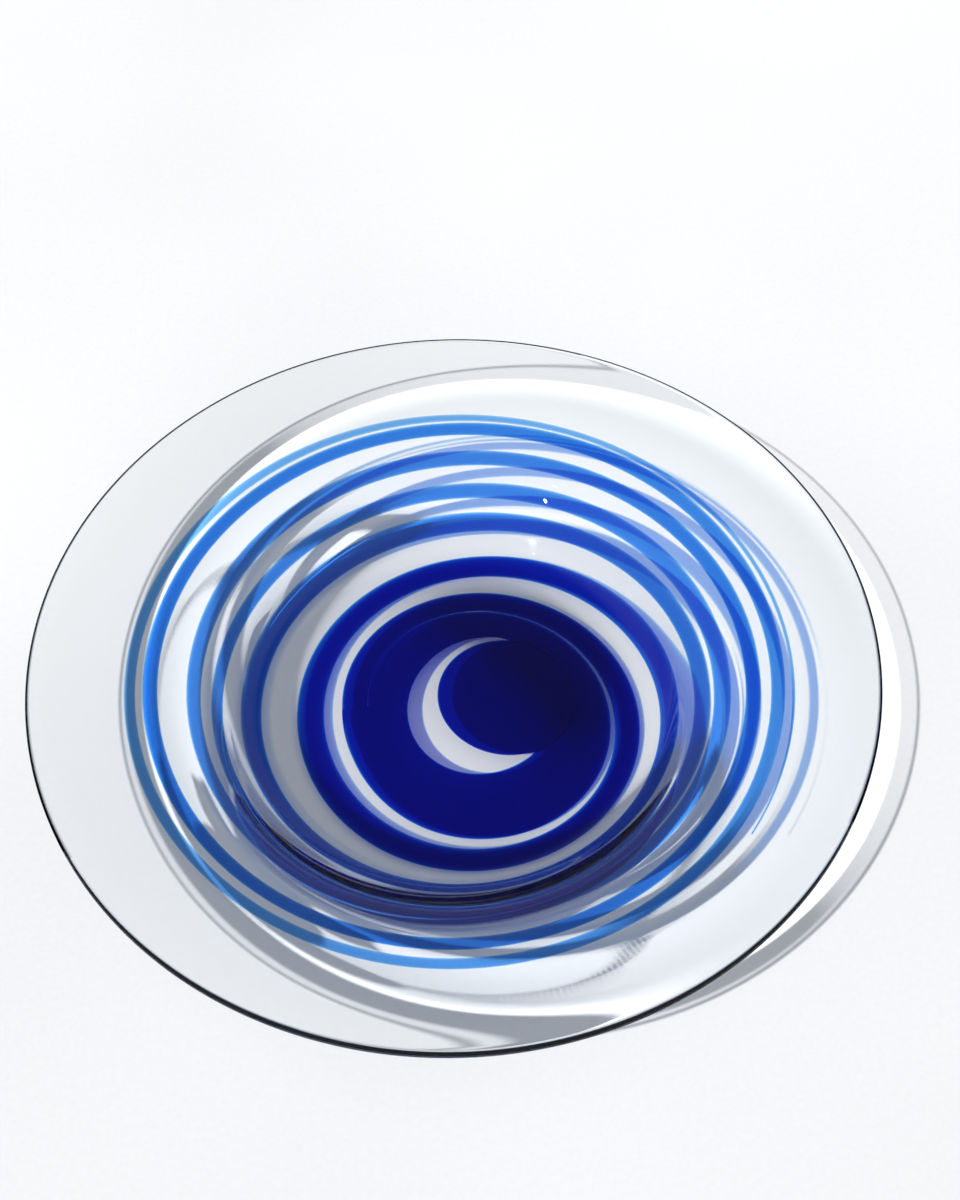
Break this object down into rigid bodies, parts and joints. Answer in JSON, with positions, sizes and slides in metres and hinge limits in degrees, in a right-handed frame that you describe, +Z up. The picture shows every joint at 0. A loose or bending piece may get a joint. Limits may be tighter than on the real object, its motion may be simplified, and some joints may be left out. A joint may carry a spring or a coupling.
{
  "type": "art glass bowl",
  "caption": "Wide-rimmed clear glass centrepiece bowl with a steep shallow well and a cobalt spiral cased in its wall; rests on a ground foot ring.",
  "frame": {"origin": "on the table under the middle of the rim, at the bottom centre of the bounding box", "axes": "+Z up along the bowl's axis; +X runs from the axis towards the side where the cobalt spiral's centre lies off axis"},
  "size_m": [0.35, 0.35, 0.053],
  "materials": {
    "clear_glass": "fire-polished clear glass, ground and polished at the foot",
    "cobalt_dab": "dense transparent cobalt glass",
    "cobalt_trail": "transparent cobalt glass"
  },
  "bodies": {
    "root": {"clear_inner_gather": "clear_glass", "clear_outer_casing": "clear_glass", "cobalt_center_dab": "cobalt_dab", "cobalt_spiral_trail": "cobalt_trail"}
  },
  "joints": []
}
